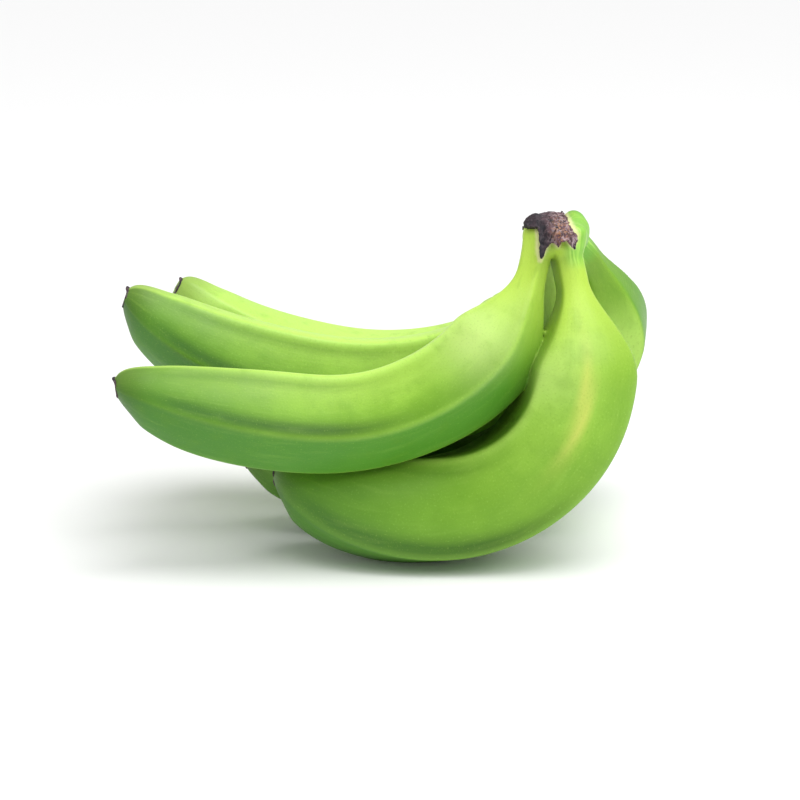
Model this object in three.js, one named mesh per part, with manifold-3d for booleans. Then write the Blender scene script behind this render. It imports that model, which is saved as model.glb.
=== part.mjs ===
// A hand of six green bananas with its dried crown cap, lying on the outer sides of its lower row.
// Millimetres, +Z up. The fingers hang from the crown at +X, and their tips point to -X. The origin is
// the middle of the bounding box at the height of the surface that the hand lies on.
import * as THREE from "three";
import { mergeVertices } from "three/addons/utils/BufferGeometryUtils.js";
import Module from "manifold-3d";

const wasm = await Module();
wasm.setup();

// Where along a finger its headings and depths are given, as a share of its length
const STATIONS = [0, 0.16, 0.38, 0.68, 1];

// Each finger's sizes: the X and Z of its root in the crown, its heading in degrees at each station
// (0 points to +X, -90 straight down, -180 to -X), its Y at each station, its length, its thickness,
// the radius of its stalk, how far its ridges are turned about its centreline at the root, how much
// further they turn up to its tip, and how broad its front side is against the other four.
const FINGERS = {
  upper_front: {
    root: [58, 123.6], headings: [-95.7, -120.8, -152.7, -186.5, -196.6],
    depths: [-8, -18, -24.5, -26.5, -30.5],
    length: 191.4, girth: 35, stalk: 5.5, turn: 7, twist: 18, broad: 1.05,
  },
  upper_middle: {
    root: [59, 122.6], headings: [-80.2, -113.9, -167.2, -193.5, -221.7],
    depths: [4.5, 10, 18, 19, 17],
    length: 206.8, girth: 35.4, stalk: 5.5, turn: 11, twist: 0, broad: 1,
  },
  upper_back: {
    root: [63.5, 117.4], headings: [-78.7, -110.1, -163.5, -194.2, -232.5],
    depths: [27, 40.6, 57.1, 59, 55],
    length: 200.6, girth: 34.5, stalk: 5.5, turn: -3, twist: 0, broad: 1,
  },
  lower_front: {
    root: [68.2, 118.8], headings: [-75.8, -85.1, -121.3, -174.5, -204],
    depths: [-6, -15.5, -21.3, -19.4, -9.6],
    length: 189.6, girth: 41.1, stalk: 5.8, turn: -45, twist: 68, broad: 1.55,
  },
  lower_middle: {
    root: [65.8, 118.2], headings: [-88.3, -75.6, -122.3, -184.7, -192.3],
    depths: [15, 17, 23.5, 24, 25],
    length: 212.6, girth: 35.8, stalk: 6.2, turn: -29, twist: 0, broad: 1,
  },
  lower_back: {
    root: [72.2, 116.2], headings: [-44.6, -75.2, -121.6, -165.3, -230.1],
    depths: [25, 43, 63, 66, 64],
    length: 186.8, girth: 37.2, stalk: 6.6, turn: -29, twist: 0, broad: 1,
  },
};

// The swelling from stalk to full thickness, and the taper to the blossom end
const STALK_LENGTH = 12;
const SWELL_LENGTH = 34;
const TAPER_LENGTH = 73;
const TAPER_POWER = 2.8;
const SCAR_INSET = 1.2;
const NUB_HEIGHT = 1.4;

// The five-sided section: the way each side faces, in degrees from the front (-Y) at 0 to the hollow
// side of the bend at 90, how far each side is from the centreline as a share of half the thickness,
// the side that is broader on some fingers, the half width of a side, and how sharp the ridges are
const SIDE_ANGLES = [89, 17, -55, -127, 161];
const SIDE_REACH = [1, 0.92, 0.92, 0.9, 0.9];
const FRONT_SIDE = 17;
const HALF_SIDE = 36;
const RIDGE_SHARPNESS = 12;
const STALK_RIDGES = 0.8;
const TIP_RIDGES = 0.35;

// Mesh steps round a finger and along it, the angle of the first ridge, how close the rings crowd at
// the tip, and the length of a ring on a stub and of a step along the centreline
const AROUND = 20;
const ALONG = 35;
const FIRST_RIDGE = 53;
const TIP_CROWDING = 1.35;
const STUB_RING = 3;
const WALK_STEP = 0.5;

// Mesh steps round the crown and the lumps on it, and their rings as a share of that
const CROWN_STEPS = 24;
const LUMP_STEPS = 16;
const RING_SHARE = 0.6;

// The crown that the stalks grow from, how square it is, and how much lower it lies for each millimetre
// behind its front part
const CROWN_MIDDLE = [66.4, 9, 123.2];
const CROWN_HALF = [10.9, 22.5, 6.4];
const CROWN_SQUARENESS = 0.72;
const CROWN_SLOPE = 0.27;
// The green lump that stands out of the crown's right side: middle and half sizes
const CROWN_LUMP = { middle: [72.6, 9, 123.6], half: [5.4, 10.5, 7.2] };

// The dried cap on the crown: its thickness, the gap to the green crown, the length of stalk that it
// lies on, its jagged front outline seen along Y, which runs from its left end over its pointed lobes to
// its right end, and the plain outline of its back part
const CAP_THICKNESS = 1.9;
const CAP_GAP = 0.3;
const STUB_LENGTH = 26;
const CAP_FRONT = {
  from: -32, to: 14,
  outline: [
    [52.4, 136], [52.8, 129.6], [57.4, 128.8], [58, 124.6], [57.9, 120.4], [58.6, 117.2],
    [60.2, 120.6], [62.2, 124], [64, 123.2], [65, 122.1], [66, 124.4], [67.8, 124.8],
    [71, 121.4], [72.4, 125.2], [70.2, 128.4], [67.6, 131], [66, 137],
  ],
};
const CAP_REAR = {
  from: 12, to: 36,
  outline: [
    [50.5, 136], [50.5, 125], [56, 121], [60, 118], [64, 119.5],
    [67, 117.5], [70, 119], [67, 136],
  ],
};
// The cut stub at the cap's left end and the mound in its middle: middle and half sizes
const CAP_LUMPS = [
  { middle: [56.9, -7, 129.7], half: [4, 5.5, 2.9] },
  { middle: [62.6, -1, 128.8], half: [6.2, 9.5, 3] },
];

// The block below the surface that the hand is cut flat with: width, depth and height
const FLOOR_CUT = [600, 600, 40];

const radians = THREE.MathUtils.degToRad;
const clamp = THREE.MathUtils.clamp;

// A smooth curve through values given at STATIONS that never overshoots between them.
function throughStations(values) {
  const last = STATIONS.length - 1;
  const width = STATIONS.slice(1).map((station, i) => station - STATIONS[i]);
  const rise = width.map((w, i) => (values[i + 1] - values[i]) / w);
  const slope = STATIONS.map((station, i) => {
    if (i === 0 || i === last) return 0;
    if (rise[i - 1] * rise[i] <= 0) return 0;
    const before = 2 * width[i] + width[i - 1];
    const after = width[i] + 2 * width[i - 1];
    return (before + after) / (before / rise[i - 1] + after / rise[i]);
  });
  const endSlope = (w0, w1, r0, r1) => {
    const straight = ((2 * w0 + w1) * r0 - w0 * r1) / (w0 + w1);
    if (straight * r0 <= 0) return 0;
    const steep = r0 * r1 <= 0 && Math.abs(straight) > 3 * Math.abs(r0);
    return steep ? 3 * r0 : straight;
  };
  slope[0] = endSlope(width[0], width[1], rise[0], rise[1]);
  slope[last] = endSlope(width[last - 1], width[last - 2], rise[last - 1], rise[last - 2]);
  return (t) => {
    let i = 0;
    while (i < last - 1 && t > STATIONS[i + 1]) i += 1;
    const w = width[i];
    const x = clamp((t - STATIONS[i]) / w, 0, 1);
    const ease = x * x * (3 - 2 * x);
    const start = x * (1 - x) * (1 - x) * w;
    const end = x * x * (x - 1) * w;
    return values[i] * (1 - ease) + values[i + 1] * ease + slope[i] * start + slope[i + 1] * end;
  };
}

// Walks a finger's centreline in short steps and returns a function of the distance from the root that
// gives the point there, the way along the finger, and the two axes of its section.
function centreline(finger) {
  const heading = throughStations(finger.headings.map(radians));
  const depth = throughStations(finger.depths);
  const steps = Math.ceil(finger.length / WALK_STEP);
  const step = finger.length / steps;
  const points = [];
  let x = finger.root[0];
  let z = finger.root[1];
  for (let i = 0; i <= steps; i += 1) {
    points.push(new THREE.Vector3(x, depth(i / steps), z));
    const way = heading((i + 0.5) / steps);
    x += Math.cos(way) * step;
    z += Math.sin(way) * step;
  }
  return (distance) => {
    const place = clamp(distance / step, 0, steps);
    const i = Math.min(Math.floor(place), steps - 1);
    const way = points[i + 1].clone().sub(points[i]).normalize();
    const point = points[i].clone().lerp(points[i + 1], place - i);
    const toViewer = new THREE.Vector3(0, -1, 0).addScaledVector(way, way.y).normalize();
    const toHollow = new THREE.Vector3().crossVectors(way, toViewer).normalize();
    return { point, way, toViewer, toHollow };
  };
}

// Half the thickness of a finger at a distance from its root.
function halfThickness(finger, distance) {
  const swell = THREE.MathUtils.smoothstep(distance, STALK_LENGTH, STALK_LENGTH + SWELL_LENGTH);
  const body = THREE.MathUtils.lerp(finger.stalk, finger.girth / 2, swell);
  const left = clamp((finger.length + SCAR_INSET - distance) / TAPER_LENGTH, 0, 1);
  return body * Math.sqrt(1 - (1 - left) ** TAPER_POWER);
}

// How far a finger's ridges are turned about its centreline at a distance from its root.
function turnAt(finger, distance) {
  return finger.turn + (finger.twist * distance) / finger.length;
}

// An angle's size off the middle of the front side: from the real section to one with five equal sides,
// and back.
function toEqualSides(finger, off) {
  const edge = HALF_SIDE * finger.broad;
  const beyond = HALF_SIDE + ((off - edge) * (180 - HALF_SIDE)) / (180 - edge);
  return off < edge ? off / finger.broad : beyond;
}

function fromEqualSides(finger, off) {
  const edge = HALF_SIDE * finger.broad;
  const beyond = edge + ((off - HALF_SIDE) * (180 - edge)) / (180 - HALF_SIDE);
  return off < HALF_SIDE ? off * finger.broad : beyond;
}

// An angle as an offset from another, between -180 and 180 degrees.
function angleFrom(angle, other) {
  return THREE.MathUtils.euclideanModulo(angle - other + 180, 360) - 180;
}

// The section's reach at an angle, as a share of half the thickness: a five-sided form whose ridges
// fade towards the stalk and the blossom end.
function sectionReach(finger, angle, distance) {
  const off = angleFrom(angle, FRONT_SIDE + turnAt(finger, distance));
  const equal = FRONT_SIDE + Math.sign(off) * toEqualSides(finger, Math.abs(off));
  const sum = SIDE_ANGLES.reduce((total, side, i) => {
    const facing = Math.cos(radians(equal - side));
    return facing > 0 ? total + (facing / SIDE_REACH[i]) ** RIDGE_SHARPNESS : total;
  }, 0);
  const sided = sum ** (-1 / RIDGE_SHARPNESS);
  const fromStalk = THREE.MathUtils.smoothstep(distance, 0, STALK_LENGTH + SWELL_LENGTH);
  const fromTip = THREE.MathUtils.smoothstep(finger.length - distance, 0, TAPER_LENGTH);
  const atStalk = THREE.MathUtils.lerp(STALK_RIDGES, 1, fromStalk);
  const atTip = THREE.MathUtils.lerp(TIP_RIDGES, 1, fromTip);
  return THREE.MathUtils.lerp(1, sided, atStalk * atTip);
}

// A closed three.js geometry as a solid.
function solidOf(geometry) {
  geometry.deleteAttribute("normal");
  geometry.deleteAttribute("uv");
  const merged = mergeVertices(geometry);
  return new wasm.Manifold(new wasm.Mesh({
    numProp: 3,
    vertProperties: new Float32Array(merged.attributes.position.array),
    triVerts: new Uint32Array(merged.index.array),
  }));
}

// A solid as a three.js geometry with flat faces.
function geometryOf(solid) {
  const mesh = solid.getMesh();
  const geometry = new THREE.BufferGeometry();
  geometry.setAttribute("position", new THREE.BufferAttribute(new Float32Array(mesh.vertProperties), 3));
  geometry.setIndex(new THREE.BufferAttribute(new Uint32Array(mesh.triVerts), 1));
  return geometry;
}

// A finger, or its first stretch, grown by a margin on all sides: a sphere's rings moved onto the
// finger's sections, with its poles at the finger's two ends.
function fingerSolid(finger, margin = 0, stretch = finger.length) {
  const whole = stretch === finger.length;
  const rings = whole ? ALONG : Math.ceil(stretch / STUB_RING);
  const geometry = new THREE.SphereGeometry(1, AROUND, rings);
  const { position, uv } = geometry.attributes;
  const line = centreline(finger);
  for (let i = 0; i < position.count; i += 1) {
    const ring = Math.round((1 - uv.getY(i)) * rings);
    const side = i % (AROUND + 1);
    const share = clamp((ring - 1) / (rings - 2), 0, 1);
    const distance = stretch * (1 - (1 - share) ** (whole ? TIP_CROWDING : 1));
    const off = angleFrom(FIRST_RIDGE - (side % AROUND) * (360 / AROUND), FRONT_SIDE);
    const real = Math.sign(off) * fromEqualSides(finger, Math.abs(off));
    const angle = FRONT_SIDE + turnAt(finger, distance) + real;
    const { point, way, toViewer, toHollow } = line(distance);
    const atPole = ring === 0 || ring === rings;
    const skin = halfThickness(finger, distance) * sectionReach(finger, angle, distance);
    const reach = atPole ? 0 : skin + margin;
    point.addScaledVector(toViewer, reach * Math.cos(radians(angle)));
    point.addScaledVector(toHollow, reach * Math.sin(radians(angle)));
    if (ring <= 1) point.addScaledVector(way, -margin);
    if (ring === rings) point.addScaledVector(way, NUB_HEIGHT + margin);
    position.setXYZ(i, point.x, point.y, point.z);
  }
  return solidOf(geometry);
}

// A rounded block or, with a squareness of 1, an ellipsoid.
function roundedSolid(middle, half, margin = 0, squareness = 1, steps = CROWN_STEPS) {
  const geometry = new THREE.SphereGeometry(1, steps, Math.round(steps * RING_SHARE));
  const { position } = geometry.attributes;
  const sized = (value, axis) => {
    const shaped = Math.sign(value) * Math.abs(value) ** squareness;
    return middle[axis] + shaped * (half[axis] + margin);
  };
  for (let i = 0; i < position.count; i += 1) {
    position.setXYZ(i, sized(position.getX(i), 0), sized(position.getY(i), 1), sized(position.getZ(i), 2));
  }
  return solidOf(geometry);
}

// The block that the stalks grow from, grown by a margin, lower towards the rear, with its lump.
function crownBlock(margin = 0) {
  const block = roundedSolid(CROWN_MIDDLE, CROWN_HALF, margin, CROWN_SQUARENESS);
  const lump = roundedSolid(CROWN_LUMP.middle, CROWN_LUMP.half, margin, 1, LUMP_STEPS);
  const sloped = block.warp((point) => {
    point[2] -= CROWN_SLOPE * Math.max(point[1], 0);
  });
  return sloped.add(lump);
}

// The crown with the first stretch of each stalk, grown by a margin.
function crownSolid(margin) {
  const stubs = Object.values(FINGERS).map((finger) => fingerSolid(finger, margin, STUB_LENGTH));
  return stubs.reduce((sum, stub) => sum.add(stub), crownBlock(margin));
}

// All fingers and the crown grown together, cut flat where the lower row rests.
function handSolid() {
  const grown = Object.values(FINGERS).reduce((sum, finger) => sum.add(fingerSolid(finger)), crownBlock());
  const below = new THREE.BoxGeometry(...FLOOR_CUT).translate(0, 0, -FLOOR_CUT[2] / 2);
  return grown.subtract(solidOf(below));
}

// A slab with an outline in X and Z that reaches from one Y to another.
function slabSolid({ from, to, outline }) {
  const shape = new THREE.Shape(outline.map(([x, z]) => new THREE.Vector2(x, z)));
  const slab = new THREE.ExtrudeGeometry(shape, { depth: to - from, bevelEnabled: false });
  return solidOf(slab.rotateX(Math.PI / 2).translate(0, to, 0));
}

// The dried cap: a jagged skin over the crown's top and front with the cut stub and the mound on it.
function capSolid() {
  const reach = slabSolid(CAP_FRONT).add(slabSolid(CAP_REAR));
  const skin = crownSolid(CAP_GAP + CAP_THICKNESS).intersect(reach);
  const lumps = CAP_LUMPS.map(({ middle, half }) => roundedSolid(middle, half, 0, 1, LUMP_STEPS));
  const cap = lumps.reduce((sum, lump) => sum.add(lump), skin).subtract(crownSolid(CAP_GAP));
  const bits = cap.decompose();
  return bits.reduce((largest, bit) => (bit.volume() > largest.volume() ? bit : largest));
}

// Places a solid in the hand as a named mesh with its own material.
function addMesh(group, name, solid, look) {
  const mesh = new THREE.Mesh(geometryOf(solid), new THREE.MeshStandardMaterial(look));
  mesh.name = name;
  group.add(mesh);
}

const hand = new THREE.Group();
addMesh(hand, "banana_hand", handSolid(), { color: 0x86b23c, roughness: 0.42, metalness: 0 });
addMesh(hand, "dry_crown_cap", capSolid(), { color: 0x4a2c22, roughness: 0.85, metalness: 0 });

const box = new THREE.Box3().setFromObject(hand);
hand.position.set(-(box.min.x + box.max.x) / 2, -(box.min.y + box.max.y) / 2, 0);

export default hand;
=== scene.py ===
# A hand of six green bananas with its dried crown cap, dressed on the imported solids.
# Sizes are written in millimetres in the hand's drawing frame and turned into metres by place().
import math

import bpy
import numpy as np
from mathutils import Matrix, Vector, noise


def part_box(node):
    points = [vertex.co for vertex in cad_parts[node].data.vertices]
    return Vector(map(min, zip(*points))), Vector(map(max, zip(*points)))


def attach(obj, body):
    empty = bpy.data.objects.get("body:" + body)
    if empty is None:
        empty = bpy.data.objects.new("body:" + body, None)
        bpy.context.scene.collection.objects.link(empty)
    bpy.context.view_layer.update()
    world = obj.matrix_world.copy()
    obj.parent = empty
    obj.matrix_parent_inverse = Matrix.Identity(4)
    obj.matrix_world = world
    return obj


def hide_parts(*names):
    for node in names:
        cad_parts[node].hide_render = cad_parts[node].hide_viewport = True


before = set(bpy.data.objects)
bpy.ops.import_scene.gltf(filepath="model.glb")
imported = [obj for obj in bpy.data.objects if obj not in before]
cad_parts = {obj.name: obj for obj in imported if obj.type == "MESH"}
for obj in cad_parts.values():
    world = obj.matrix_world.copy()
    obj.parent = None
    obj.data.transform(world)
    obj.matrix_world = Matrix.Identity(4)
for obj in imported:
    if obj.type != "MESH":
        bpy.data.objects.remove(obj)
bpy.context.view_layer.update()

MM = 0.001
TURN = 2 * math.pi

# Where along a finger its headings and depths are given, as a share of its length
STATIONS = [0, 0.16, 0.38, 0.68, 1]

# Each finger's sizes: root X and Z, headings in degrees and Y at each station, length, thickness,
# stalk radius, how far its ridges are turned about its centreline at the root, how much further they
# turn up to the tip, and how broad its front side is against the other four
FINGERS = {
    "upper_front": dict(
        root=(58, 123.6), headings=[-95.7, -120.8, -152.7, -186.5, -196.6],
        depths=[-8, -18, -24.5, -26.5, -30.5], length=191.4, girth=35, stalk=5.5, turn=7,
        twist=18, broad=1.05),
    "upper_middle": dict(
        root=(59, 122.6), headings=[-80.2, -113.9, -167.2, -193.5, -221.7],
        depths=[4.5, 10, 18, 19, 17], length=206.8, girth=35.4, stalk=5.5, turn=11,
        twist=0, broad=1),
    "upper_back": dict(
        root=(63.5, 117.4), headings=[-78.7, -110.1, -163.5, -194.2, -232.5],
        depths=[27, 40.6, 57.1, 59, 55], length=200.6, girth=34.5, stalk=5.5, turn=-3,
        twist=0, broad=1),
    "lower_front": dict(
        root=(68.2, 118.8), headings=[-75.8, -85.1, -121.3, -174.5, -204],
        depths=[-6, -15.5, -21.3, -19.4, -9.6], length=189.6, girth=41.1, stalk=5.8, turn=-45,
        twist=68, broad=1.55),
    "lower_middle": dict(
        root=(65.8, 118.2), headings=[-88.3, -75.6, -122.3, -184.7, -192.3],
        depths=[15, 17, 23.5, 24, 25], length=212.6, girth=35.8, stalk=6.2, turn=-29,
        twist=0, broad=1),
    "lower_back": dict(
        root=(72.2, 116.2), headings=[-44.6, -75.2, -121.6, -165.3, -230.1],
        depths=[25, 43, 63, 66, 64], length=186.8, girth=37.2, stalk=6.6, turn=-29,
        twist=0, broad=1),
}

# The swelling from stalk to full thickness, and the taper to the blossom end
STALK_LENGTH = 12
SWELL_LENGTH = 34
TAPER_LENGTH = 73
TAPER_POWER = 2.8
SCAR_INSET = 1.2

# The five-sided section: the way each side faces, its reach and how sharp the ridges are
SIDE_ANGLES = [89, 17, -55, -127, 161]
SIDE_REACH = [1, 0.92, 0.92, 0.9, 0.9]
RIDGE_ANGLES = [53, -19, -91, -163, 125]
HOLLOW_SIDE, FRONT_SIDE, LOWER_SIDE, UNDER_SIDE = SIDE_ANGLES[:4]
UPPER_RIDGE, LOWER_RIDGE = RIDGE_ANGLES[:2]
HALF_SIDE = 36
RIDGE_SHARPNESS = 12
CREST_HEIGHT, CREST_WIDTH = 0.4, 1.5
GROOVE_DEPTH, GROOVE_PLACE, GROOVE_WIDTH = 0.12, 4.2, 2.2
STALK_RIDGES = 0.8
TIP_RIDGES = 0.35
WALK_STEP = 0.5

# The blossom end is cut askew: how far its hollow side stands forward, and how far back that reaches
END_SKEW = math.tan(math.radians(22))
END_REACH = 14

# The rounded lip and the shallow dish of the blossom end: size as a share of its radius, and rise
END_LIP = [(0.93, 0.45), (0.8, 0.65), (0.6, 0.45), (0.3, 0.3)]
END_DISH = 0.25

# How far a finger's root lies under the blended skin of crown and stalks
ROOT_SINK = 0.35

# A surface is first looked for on every COARSE-th point of its grid, and then finely where it is
# nearer than COARSE_REACH coarse steps
COARSE = 4
COARSE_REACH = 2.4
PINCH_ROUNDS = 6

# Settling on a surface: the half width of the slope's measure and the longest step
SLOPE_REACH = 0.3
LONGEST_STEP = 0.8

# Mesh steps round a finger and along it, and how close the rings crowd at its tip
AROUND = 80
ALONG = 130
RIDGE_CROWDING = 1.4
TIP_CROWDING = 1.35

# The crown that the stalks grow from
CROWN_MIDDLE = np.array([66.4, 9.0, 123.2])
CROWN_HALF = np.array([10.9, 22.5, 6.4])
CROWN_POWER = 2 / 0.72
CROWN_SLOPE = 0.27
CROWN_TOP = 129.8
TOP_ROUND = 3
CROWN_LUMP = (np.array([72.6, 9.0, 123.6]), np.array([5.4, 10.5, 7.2]))
LUMP_BLEND = 2.5

# Where the blended skin of crown and stalks hands over to each finger's own skin, along the finger,
# how deep it sinks there, and the height below which it is hidden in the fingers
JOIN_START = 24
JOIN_END = 34
JOIN_STOP = 42
JOIN_PAST = 20
JOIN_SINK = 1.4
JOIN_ROUND = 5
JOIN_CELL = 0.8
JOIN_HIDDEN = 92
JOIN_ROOM = [[30, 28, 56], [40, 42, 6]]
CROWN_BLEND = 3.6
NECK_BLEND = 0.15
BLEND_HEIGHTS = [111, 121]

# The flat spots under the lower row are at this height
REST_HEIGHT = 0.0

# The camera: aim in the drawing frame, distance, height angle and the real width of a pixel there
CAMERA_AIM = (6.7, 20.0, 53.7)
CAMERA_DISTANCE = 900
CAMERA_ELEVATION = 15
PIXEL_SIZE = 0.392
IMAGE_SIZE = 800
SENSOR = 36


def smoothstep(value, low, high):
    share = np.clip((value - low) / (high - low), 0, 1)
    return share * share * (3 - 2 * share)


def through_stations(values, t):
    """A smooth curve through values given at STATIONS, read at each t, that never overshoots."""
    width = np.diff(STATIONS)
    values = np.asarray(values, float)
    rise = np.diff(values) / width
    slope = np.zeros(len(values))
    for i in range(1, len(values) - 1):
        if rise[i - 1] * rise[i] > 0:
            before = 2 * width[i] + width[i - 1]
            after = width[i] + 2 * width[i - 1]
            slope[i] = (before + after) / (before / rise[i - 1] + after / rise[i])

    def end_slope(w0, w1, r0, r1):
        straight = ((2 * w0 + w1) * r0 - w0 * r1) / (w0 + w1)
        if straight * r0 <= 0:
            return 0.0
        steep = r0 * r1 <= 0 and abs(straight) > 3 * abs(r0)
        return 3 * r0 if steep else straight

    slope[0] = end_slope(width[0], width[1], rise[0], rise[1])
    slope[-1] = end_slope(width[-1], width[-2], rise[-1], rise[-2])
    i = np.clip(np.searchsorted(STATIONS, t, side="right") - 1, 0, len(width) - 1)
    w = width[i]
    x = np.clip((t - np.asarray(STATIONS)[i]) / w, 0, 1)
    ease = x * x * (3 - 2 * x)
    start = x * (1 - x) ** 2 * w
    end = x * x * (x - 1) * w
    return values[i] * (1 - ease) + values[i + 1] * ease + slope[i] * start + slope[i + 1] * end


def centreline(finger):
    """Points along a finger's middle every half millimetre, with the axes of its section there."""
    steps = math.ceil(finger["length"] / WALK_STEP)
    step = finger["length"] / steps
    way = np.radians(through_stations(finger["headings"], (np.arange(steps) + 0.5) / steps))
    x = finger["root"][0] + np.concatenate([[0], np.cumsum(np.cos(way) * step)])
    z = finger["root"][1] + np.concatenate([[0], np.cumsum(np.sin(way) * step)])
    y = through_stations(finger["depths"], np.arange(steps + 1) / steps)
    point = np.stack([x, y, z], 1)
    along = np.gradient(point, axis=0)
    along /= np.linalg.norm(along, axis=1)[:, None]
    viewer = np.array([0, -1, 0]) + along * along[:, 1:2]
    viewer /= np.linalg.norm(viewer, axis=1)[:, None]
    hollow = np.cross(along, viewer)
    distance = np.arange(steps + 1) * step
    return dict(distance=distance, point=point, way=along, viewer=viewer, hollow=hollow)


def half_thickness(finger, distance):
    swell = smoothstep(distance, STALK_LENGTH, STALK_LENGTH + SWELL_LENGTH)
    body = finger["stalk"] + (finger["girth"] / 2 - finger["stalk"]) * swell
    left = np.clip((finger["length"] + SCAR_INSET - distance) / TAPER_LENGTH, 0, 1)
    return body * np.sqrt(1 - (1 - left) ** TAPER_POWER)


def ridge_turn(finger, distance):
    """How far a finger's ridges are turned about its centreline at each distance, in degrees."""
    return finger["turn"] + finger["twist"] * distance / finger["length"]


def angle_from(angle, other):
    """How far an angle lies past another, between -180 and 180 degrees."""
    return (angle - other + 180) % 360 - 180


def with_equal_sides(finger, angle, distance):
    """A real angle round a finger as the angle in a section with five equal, unturned sides."""
    off = angle_from(angle, FRONT_SIDE + ridge_turn(finger, distance))
    size = np.abs(off)
    edge = HALF_SIDE * finger["broad"]
    beyond = HALF_SIDE + (size - edge) * (180 - HALF_SIDE) / (180 - edge)
    return FRONT_SIDE + np.sign(off) * np.where(size < edge, size / finger["broad"], beyond)


def from_equal_sides(finger, around, distance):
    """The real angle for one in the section with five equal, unturned sides."""
    off = angle_from(around, FRONT_SIDE)
    size = np.abs(off)
    edge = HALF_SIDE * finger["broad"]
    beyond = edge + (size - HALF_SIDE) * (180 - edge) / (180 - HALF_SIDE)
    real = np.sign(off) * np.where(size < HALF_SIDE, size * finger["broad"], beyond)
    return FRONT_SIDE + ridge_turn(finger, distance) + real


def section_reach(finger, angle, distance):
    """The section's reach at an angle in degrees, as a share of half the thickness."""
    around = with_equal_sides(finger, angle, distance)
    total = 0
    for side, reach in zip(SIDE_ANGLES, SIDE_REACH):
        facing = np.cos(np.radians(around - side))
        total = total + (np.maximum(facing, 0) / reach) ** RIDGE_SHARPNESS
    sided = total ** (-1 / RIDGE_SHARPNESS)
    from_stalk = smoothstep(distance, 0, STALK_LENGTH + SWELL_LENGTH)
    from_tip = smoothstep(finger["length"] - distance, 0, TAPER_LENGTH)
    ridges = STALK_RIDGES + (1 - STALK_RIDGES) * from_stalk
    ridges = ridges * (TIP_RIDGES + (1 - TIP_RIDGES) * from_tip)
    return 1 + (sided - 1) * ridges


def natural_swell(finger, angle, distance):
    """Slow unevenness of a grown finger, in millimetres: none at the stalk and at the tip."""
    seed = finger["length"] * 0.37 + finger["girth"]
    turn = np.radians(angle)
    waves = (0.22 * np.sin(distance / 17 + seed + np.cos(turn + seed))
             + 0.16 * np.sin(distance / 9.5 + 2 * seed + 2 * np.sin(turn))
             + 0.12 * np.sin(3 * turn + distance / 23 + seed))
    return waves * smoothstep(distance, 34, 60) * smoothstep(finger["length"] - distance, 4, 30)


def ridge_relief(finger, angle, distance):
    """The proud crest of each ridge and the slight grooves beside it, in millimetres."""
    radius = half_thickness(finger, distance)
    around = with_equal_sides(finger, angle, distance)
    relief = 0
    for ridge in RIDGE_ANGLES:
        off = np.abs(np.radians(angle_from(around, ridge))) * radius
        relief = relief + CREST_HEIGHT * np.exp(-(off / CREST_WIDTH) ** 2)
        relief = relief - GROOVE_DEPTH * np.exp(-((off - GROOVE_PLACE) / GROOVE_WIDTH) ** 2)
    fade = smoothstep(distance, 22, 50) * smoothstep(finger["length"] - distance, 3, 26)
    return relief * fade


def skin_reach(finger, angle, distance):
    reach = half_thickness(finger, distance) * section_reach(finger, angle, distance)
    return reach + natural_swell(finger, angle, distance) + ridge_relief(finger, angle, distance)


LINES = {name: centreline(finger) for name, finger in FINGERS.items()}


def on_line(line, distance):
    """The centreline's point and section axes at each distance."""
    def read(key):
        return np.stack([np.interp(distance, line["distance"], line[key][:, k]) for k in range(3)], -1)
    return read("point"), read("way"), read("viewer"), read("hollow")


def near_finger(name, points, until=None):
    """For each point: signed distance to a finger's skin, and its distance along and angle round it."""
    finger, line = FINGERS[name], LINES[name]
    last = len(line["distance"]) if until is None else int(until / WALK_STEP)
    pick = slice(0, last, 3)
    centre, way = line["point"][pick], line["way"][pick]
    nearest = np.empty(len(points), int)
    for start in range(0, len(points), 20000):
        part = points[start:start + 20000]
        apart = (part ** 2).sum(1)[:, None] + (centre ** 2).sum(1)[None] - 2 * part @ centre.T
        nearest[start:start + 20000] = apart.argmin(1)
    offset = points - centre[nearest]
    distance = line["distance"][pick][nearest] + (offset * way[nearest]).sum(1)
    point, way, viewer, hollow = on_line(line, distance)
    offset = points - point
    beyond = (offset * way).sum(1)
    across = offset - way * beyond[:, None]
    angle = np.degrees(np.arctan2((across * hollow).sum(1), (across * viewer).sum(1)))
    inside = np.clip(distance, 0, finger["length"])
    reach = skin_reach(finger, angle, inside)
    off_end = (distance < 0) | (distance > finger["length"])
    gap = np.sqrt((across ** 2).sum(1) + np.where(off_end, beyond, 0) ** 2) - reach
    return gap, inside, angle


def blended(first, second, width):
    """The smaller of two distances, with a fillet of that width where they meet."""
    mix = np.clip(0.5 + 0.5 * (second - first) / width, 0, 1)
    return second * (1 - mix) + first * mix - width * mix * (1 - mix)


def crown_gap(points):
    """Signed distance, nearly, to the green crown block, which lies lower towards the rear."""
    level = points + np.array([0, 0, CROWN_SLOPE]) * np.maximum(points[:, 1:2], 0)
    place = np.abs((level - CROWN_MIDDLE) / CROWN_HALF)
    size = (place ** CROWN_POWER).sum(1) ** (1 / CROWN_POWER)
    lumps = (0.35 * np.sin(points[:, 0] / 2.3 + points[:, 1] / 3.1)
             + 0.3 * np.sin(points[:, 1] / 2.6 + points[:, 2] / 2.9 + 1.3))
    return (size - 1) * CROWN_HALF.min() + lumps


def blend_width(points):
    """Wide fillets at the crown, narrow ones where the necks run side by side below it."""
    return NECK_BLEND + (CROWN_BLEND - NECK_BLEND) * smoothstep(points[:, 2], *BLEND_HEIGHTS)


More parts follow.
